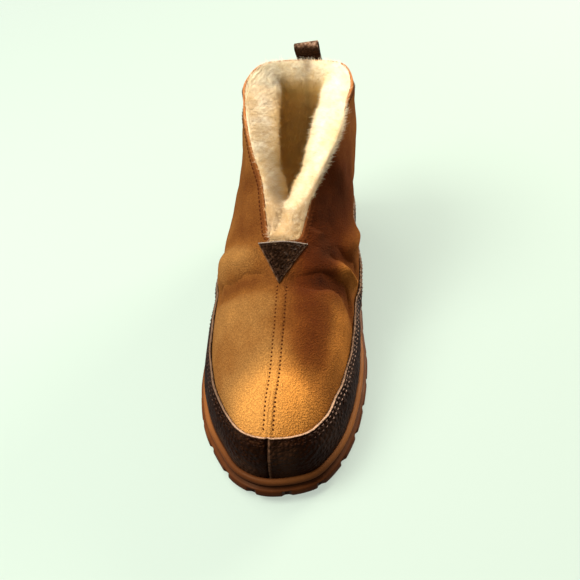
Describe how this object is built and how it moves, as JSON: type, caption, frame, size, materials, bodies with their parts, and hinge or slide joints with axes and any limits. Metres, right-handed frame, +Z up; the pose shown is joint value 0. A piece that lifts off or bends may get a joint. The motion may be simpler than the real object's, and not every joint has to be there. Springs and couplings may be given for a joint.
{
  "type": "bootie slipper",
  "caption": "Bootie slipper for the right foot: suede upper with thick pile lining, leather foxing, throat patch and pull loop, on a moulded rubber sole with lugs.",
  "frame": {"origin": "centre of the bounding box's underside, on the floor under the sole", "axes": "+Z up from the floor, -Y to the toe, +X to the inner side of the foot"},
  "size_m": [0.1156, 0.298, 0.1573],
  "materials": {
    "rubber": "satin moulded gum rubber",
    "insole_pile": "short flattened pile",
    "suede": "napped suede",
    "pile": "thick soft pile",
    "leather": "pebbled, half gloss",
    "strap_leather": "pebbled, half gloss, rubbed at the fold"
  },
  "bodies": {
    "root": {"outsole": "rubber", "insole": "insole_pile", "upper": "suede", "lining": "pile", "foxing_medial": "leather", "foxing_lateral": "leather", "throat_patch": "leather", "pull_loop": "strap_leather"}
  },
  "joints": []
}
